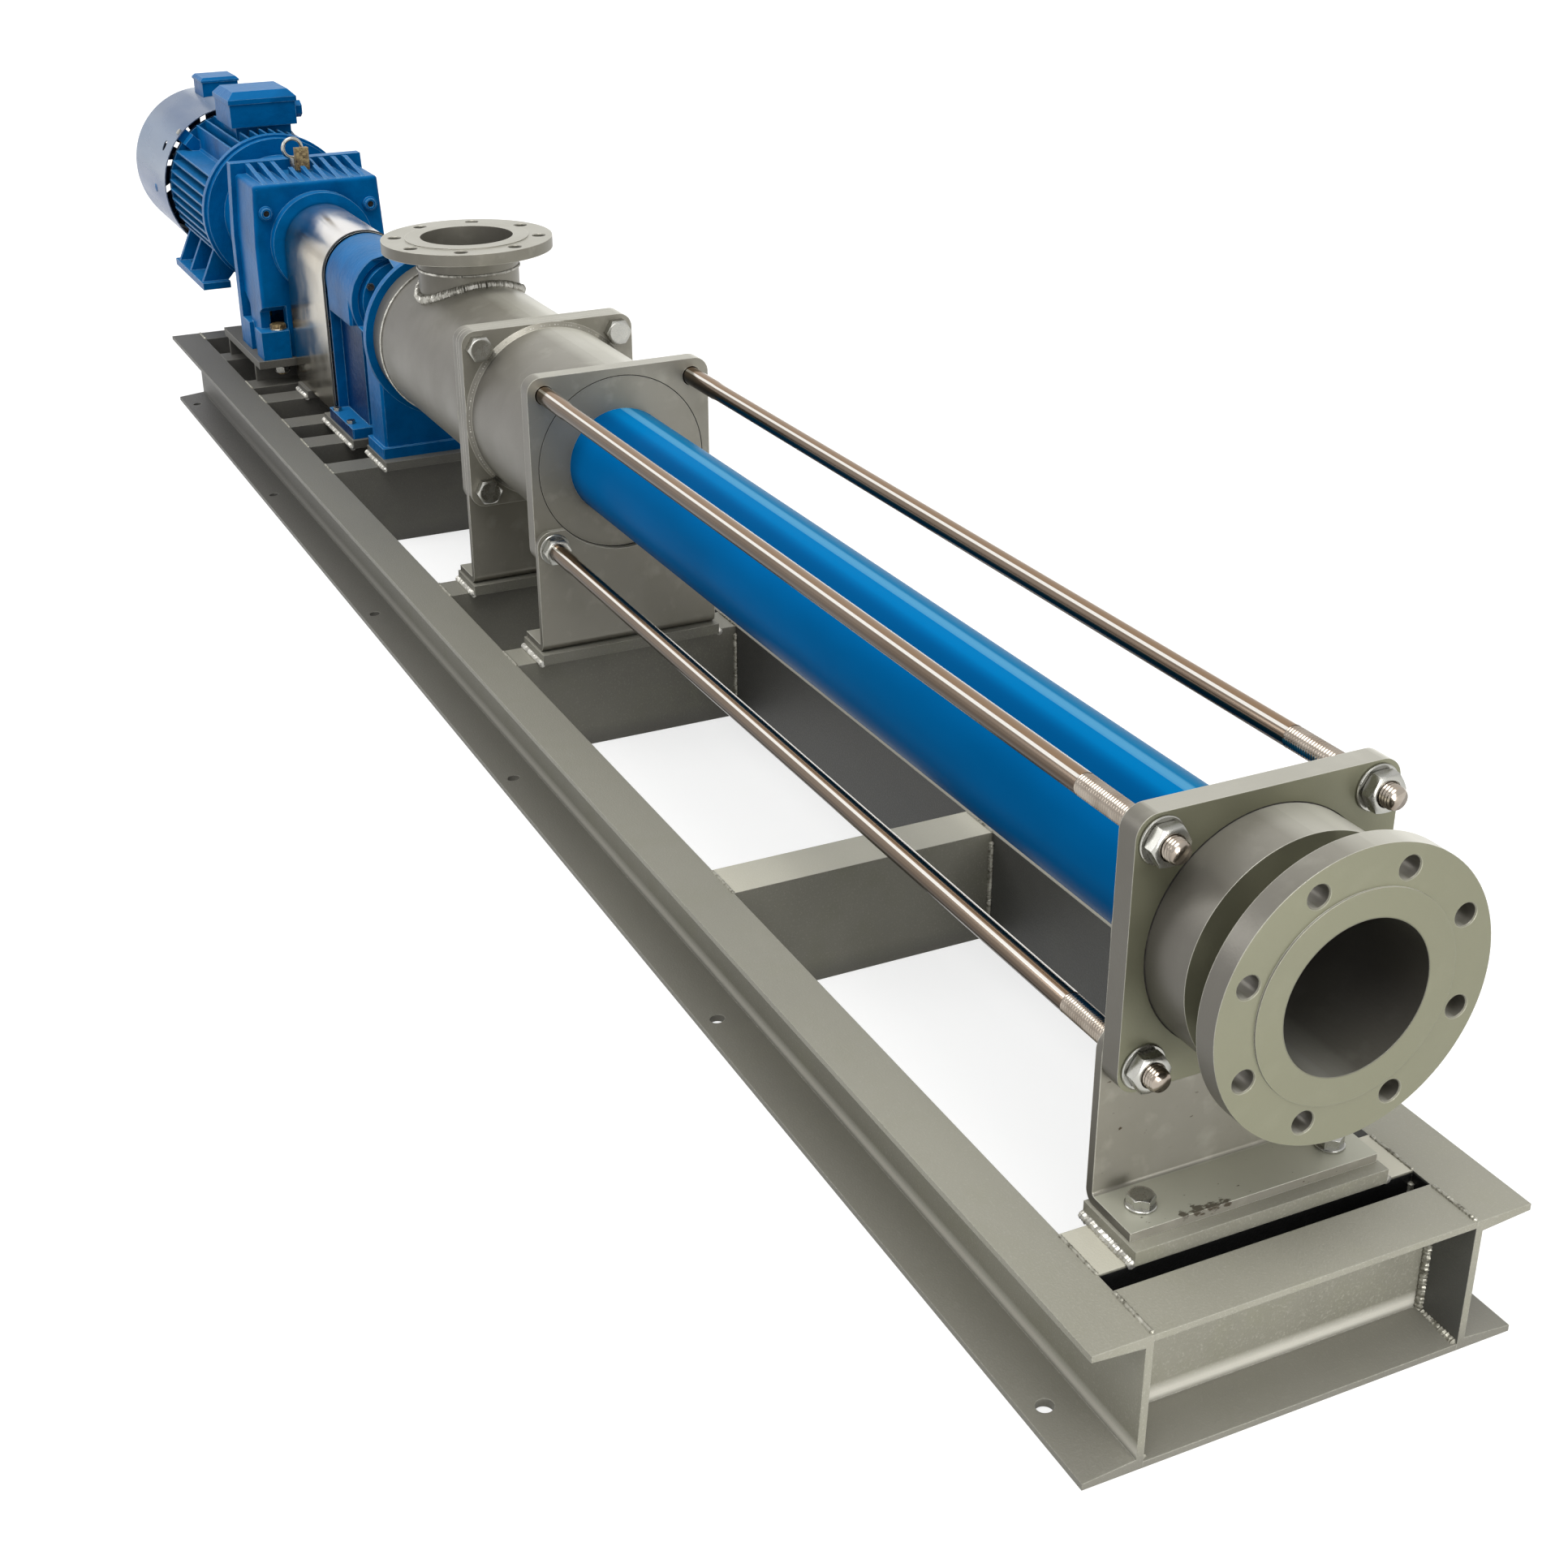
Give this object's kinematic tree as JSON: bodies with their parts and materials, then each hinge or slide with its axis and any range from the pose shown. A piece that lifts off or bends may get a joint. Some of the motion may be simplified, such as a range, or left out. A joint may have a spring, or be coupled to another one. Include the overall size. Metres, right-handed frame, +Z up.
{
  "type": "progressive cavity pump",
  "caption": "Long progressive cavity pump on a welded channel base with tie-rod stator, top suction flange, coupling guard, gearbox and finned motor with fan.",
  "frame": {"origin": "middle of the bounding box, on the floor under the base frame", "axes": "+X along the pump axis towards the discharge flange, +Z up"},
  "size_m": [4.4, 0.483, 0.682],
  "materials": {
    "frame_paint": "satin",
    "satin_stainless": "satin",
    "blue_tube": "gloss",
    "blue_enamel": "gloss",
    "cowl_paint": "gloss",
    "polished_sheet": "polished",
    "polished_rod": "polished",
    "zinc_steel": "zinc plated",
    "yellow_zinc": "yellow zinc plated",
    "bronze": "aged",
    "black_rubber": "matte",
    "hard_chrome": "polished",
    "ground_steel": "ground",
    "gear_steel": "machined",
    "hub_iron": "machined",
    "lamination": "matte",
    "seal_carbide": "lapped",
    "fan_plastic": "matte"
  },
  "bodies": {
    "pump": {"bearing_housing": "blue_enamel", "bearing_outer_rings": "gear_steel", "cable_gland": "blue_enamel", "coupling_guard": "polished_sheet", "cross_channels": "frame_paint", "discharge_body": "satin_stainless", "discharge_clamp_plate": "satin_stainless", "discharge_support": "satin_stainless", "drive_bearings": "gear_steel", "end_channels": "frame_paint", "fan_cowl": "cowl_paint", "fan_motor": "blue_enamel", "foot_bolts": "zinc_steel", "gearbox_bolts": "yellow_zinc", "gearbox_cover": "blue_enamel", "gearbox_housing": "blue_enamel", "gearbox_stand": "frame_paint", "guard_edge_trim": "black_rubber", "inlet_clamp_plate": "satin_stainless", "joint_bolts": "zinc_steel", "lifting_eye": "zinc_steel", "machine_screws": "zinc_steel", "motor_end_shields": "blue_enamel", "motor_frame": "blue_enamel", "motor_stator_core": "lamination", "oil_plugs": "blue_enamel", "seal_seat": "seal_carbide", "shaft_covers": "ground_steel", "side_rails": "frame_paint", "spool": "satin_stainless", "spool_support": "satin_stainless", "stator_end_rings": "satin_stainless", "stator_gaskets": "black_rubber", "stator_liner": "black_rubber", "stator_support": "satin_stainless", "stator_tube": "blue_tube", "suction_housing": "satin_stainless", "support_pads": "frame_paint", "terminal_box_lids": "blue_enamel", "terminal_boxes": "blue_enamel", "tie_rod_nuts": "zinc_steel", "tie_rods": "polished_rod", "vent_plug": "bronze", "washers": "zinc_steel"},
    "drive": {"drive_shaft": "ground_steel", "bearing_inner_rings": "gear_steel", "seal_ring": "seal_carbide", "coupling_hub_pump": "hub_iron", "coupling_hub_gearbox": "hub_iron", "coupling_spider": "black_rubber", "output_shaft": "ground_steel", "output_gear": "gear_steel"},
    "rod": {"connecting_rod": "ground_steel"},
    "rotor": {"rotor": "hard_chrome"},
    "countershaft": {"countershaft": "gear_steel", "countershaft_wheel": "gear_steel"},
    "motor_rotor": {"motor_shaft": "ground_steel", "motor_rotor_core": "lamination"},
    "fan": {"ventilation_fan": "fan_plastic", "fan_shaft": "ground_steel"}
  },
  "joints": [
    {"name": "drive_spin", "type": "hinge", "parent": "pump", "child": "drive", "pos_m": [-0.5, 0, 0.438], "axis": [1, 0, 0], "continuous": true},
    {"name": "rod_orbit", "type": "hinge", "parent": "pump", "child": "rod", "pos_m": [0, 0, 0.438], "axis": [1, 0, 0], "continuous": true},
    {"name": "rotor_spin", "type": "hinge", "parent": "rod", "child": "rotor", "pos_m": [1, 0, 0.451], "axis": [1, 0, 0], "continuous": true},
    {"name": "countershaft_spin", "type": "hinge", "parent": "pump", "child": "countershaft", "pos_m": [-1.194, 0, 0.342], "axis": [1, 0, 0], "continuous": true},
    {"name": "motor_spin", "type": "hinge", "parent": "pump", "child": "motor_rotor", "pos_m": [-1.604, 0, 0.438], "axis": [1, 0, 0], "continuous": true},
    {"name": "fan_spin", "type": "hinge", "parent": "pump", "child": "fan", "pos_m": [-1.929, 0, 0.438], "axis": [1, 0, 0], "continuous": true}
  ],
  "couplings": [
    {"joint": "rod_orbit", "follows": "drive_spin", "ratio": -1},
    {"joint": "rotor_spin", "follows": "drive_spin", "ratio": 2},
    {"joint": "countershaft_spin", "follows": "drive_spin", "ratio": -3},
    {"joint": "motor_spin", "follows": "drive_spin", "ratio": 10.714}
  ]
}
